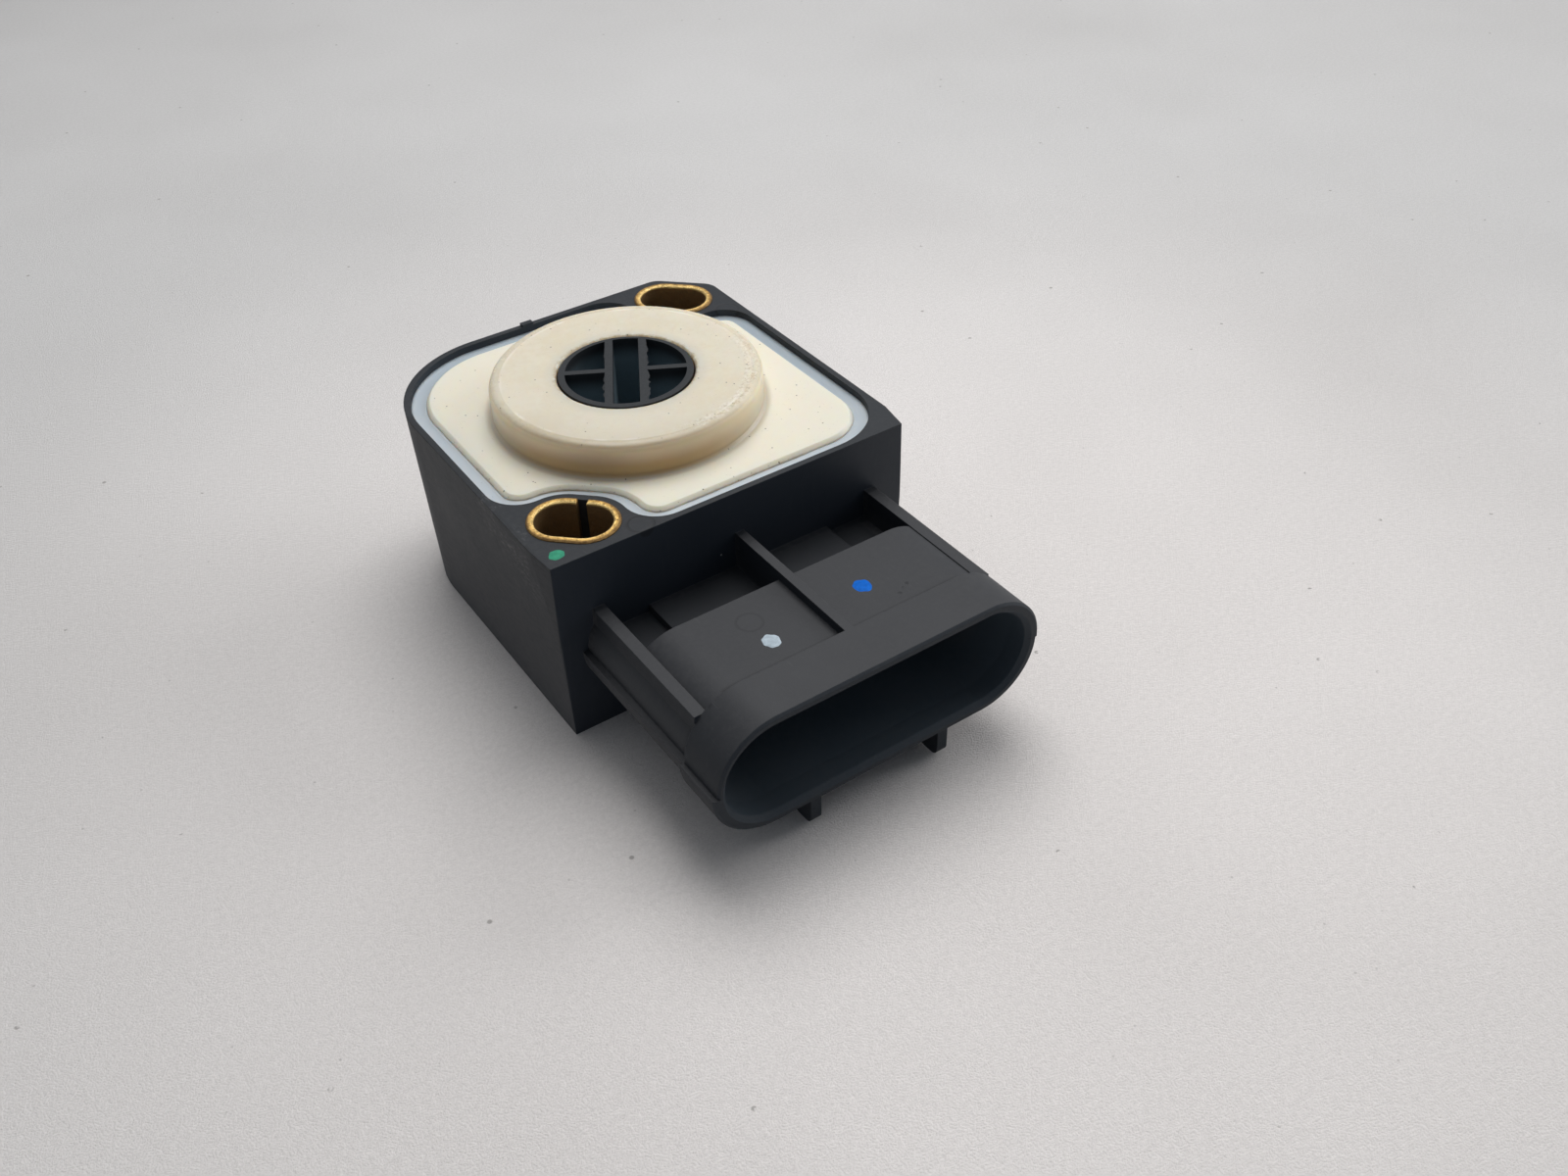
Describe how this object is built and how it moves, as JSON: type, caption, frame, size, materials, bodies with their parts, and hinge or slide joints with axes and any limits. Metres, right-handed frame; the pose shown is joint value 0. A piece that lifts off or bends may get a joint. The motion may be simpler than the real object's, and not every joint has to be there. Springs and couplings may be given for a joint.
{
  "type": "throttle position sensor",
  "caption": "Black moulded rotary position sensor with a flat sealed connector, a cream cover with a round pilot boss and a slotted rotor, and slotted brass mounting sleeves.",
  "frame": {"origin": "on the rotor's axis, at the flat base", "axes": "+Z along the rotor's axis, out of the pilot boss; -Y out of the connector's mouth; +X to the right seen from the connector"},
  "size_m": [0.0486, 0.0768, 0.0294],
  "materials": {
    "black_plastic": "satin moulded",
    "cream_plastic": "satin moulded",
    "pale_sealant": "cured bead, half gloss",
    "sleeve_brass": "rolled strip, tarnished inside",
    "rotor_plastic": "satin moulded",
    "seal_rubber": "matt",
    "spring_steel": "bright rolled",
    "contact_metal": "bright rolled",
    "board_laminate": "matt laminate with printed tracks",
    "tinned_metal": "tin plated"
  },
  "bodies": {
    "sensor_body": {"housing": "black_plastic", "cover": "cream_plastic", "sealant_bead": "pale_sealant", "front_mounting_sleeve": "sleeve_brass", "rear_mounting_sleeve": "sleeve_brass", "track_board": "board_laminate", "terminal_1": "tinned_metal", "terminal_2": "tinned_metal", "terminal_3": "tinned_metal", "terminal_4": "tinned_metal", "terminal_5": "tinned_metal", "terminal_6": "tinned_metal"},
    "rotor_body": {"rotor": "rotor_plastic", "rotor_seal": "seal_rubber", "spring_washer": "spring_steel", "signal_wiper": "contact_metal", "idle_wiper": "contact_metal"}
  },
  "joints": [
    {"name": "rotor_turn", "type": "hinge", "parent": "sensor_body", "child": "rotor_body", "pos_m": [0, 0, 0], "axis": [0, 0, 1], "range_deg": [-30, 60]}
  ]
}
